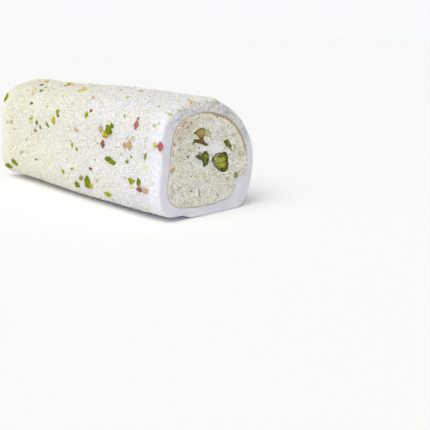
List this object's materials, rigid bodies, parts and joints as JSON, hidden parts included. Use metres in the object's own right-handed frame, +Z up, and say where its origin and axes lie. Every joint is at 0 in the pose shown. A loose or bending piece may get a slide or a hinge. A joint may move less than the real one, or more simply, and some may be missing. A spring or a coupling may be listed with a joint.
{
  "type": "rolled turkish delight",
  "caption": "Log of rolled sweet: a pale nougat filling with pistachio kernels inside a soft white wrap coated with coconut, chopped pistachio and rose petals, cut square at both ends.",
  "frame": {"origin": "on the ground under the middle of the roll's box", "axes": "+Y along the roll, from the cut end that the picture shows towards the other; +Z up"},
  "size_m": [0.0523, 0.1198, 0.0469],
  "materials": {
    "wrap": "soft white sheet, satin where it is cut, coated outside with fine grated coconut",
    "filling": "pale crumbly nougat, matt, torn into fine crags by the knife",
    "pistachio_green": "pistachio, yellow-green inside and dark green at the rim, slightly oily",
    "pistachio_golden": "riper yellow pistachio, slightly oily",
    "kernel_skin": "thin brown kernel skin, fibrous and matt",
    "coconut": "fine grated coconut, dry and matt, fused to the wrap's outside",
    "rose_petal": "crumbs of dried rose petal, matt, fused to the wrap's outside"
  },
  "bodies": {
    "root": {"wrap": "wrap", "filling": "filling", "kernel_front_large": "pistachio_green", "kernel_front_middle": "pistachio_green", "kernel_front_small": "pistachio_green", "chip_front_tan": "pistachio_golden", "kernel_back_long": "pistachio_green", "kernel_back_golden": "pistachio_golden", "kernel_back_green": "pistachio_green", "kernel_back_small": "pistachio_green", "kernel_skin_front": "kernel_skin"}
  },
  "joints": []
}
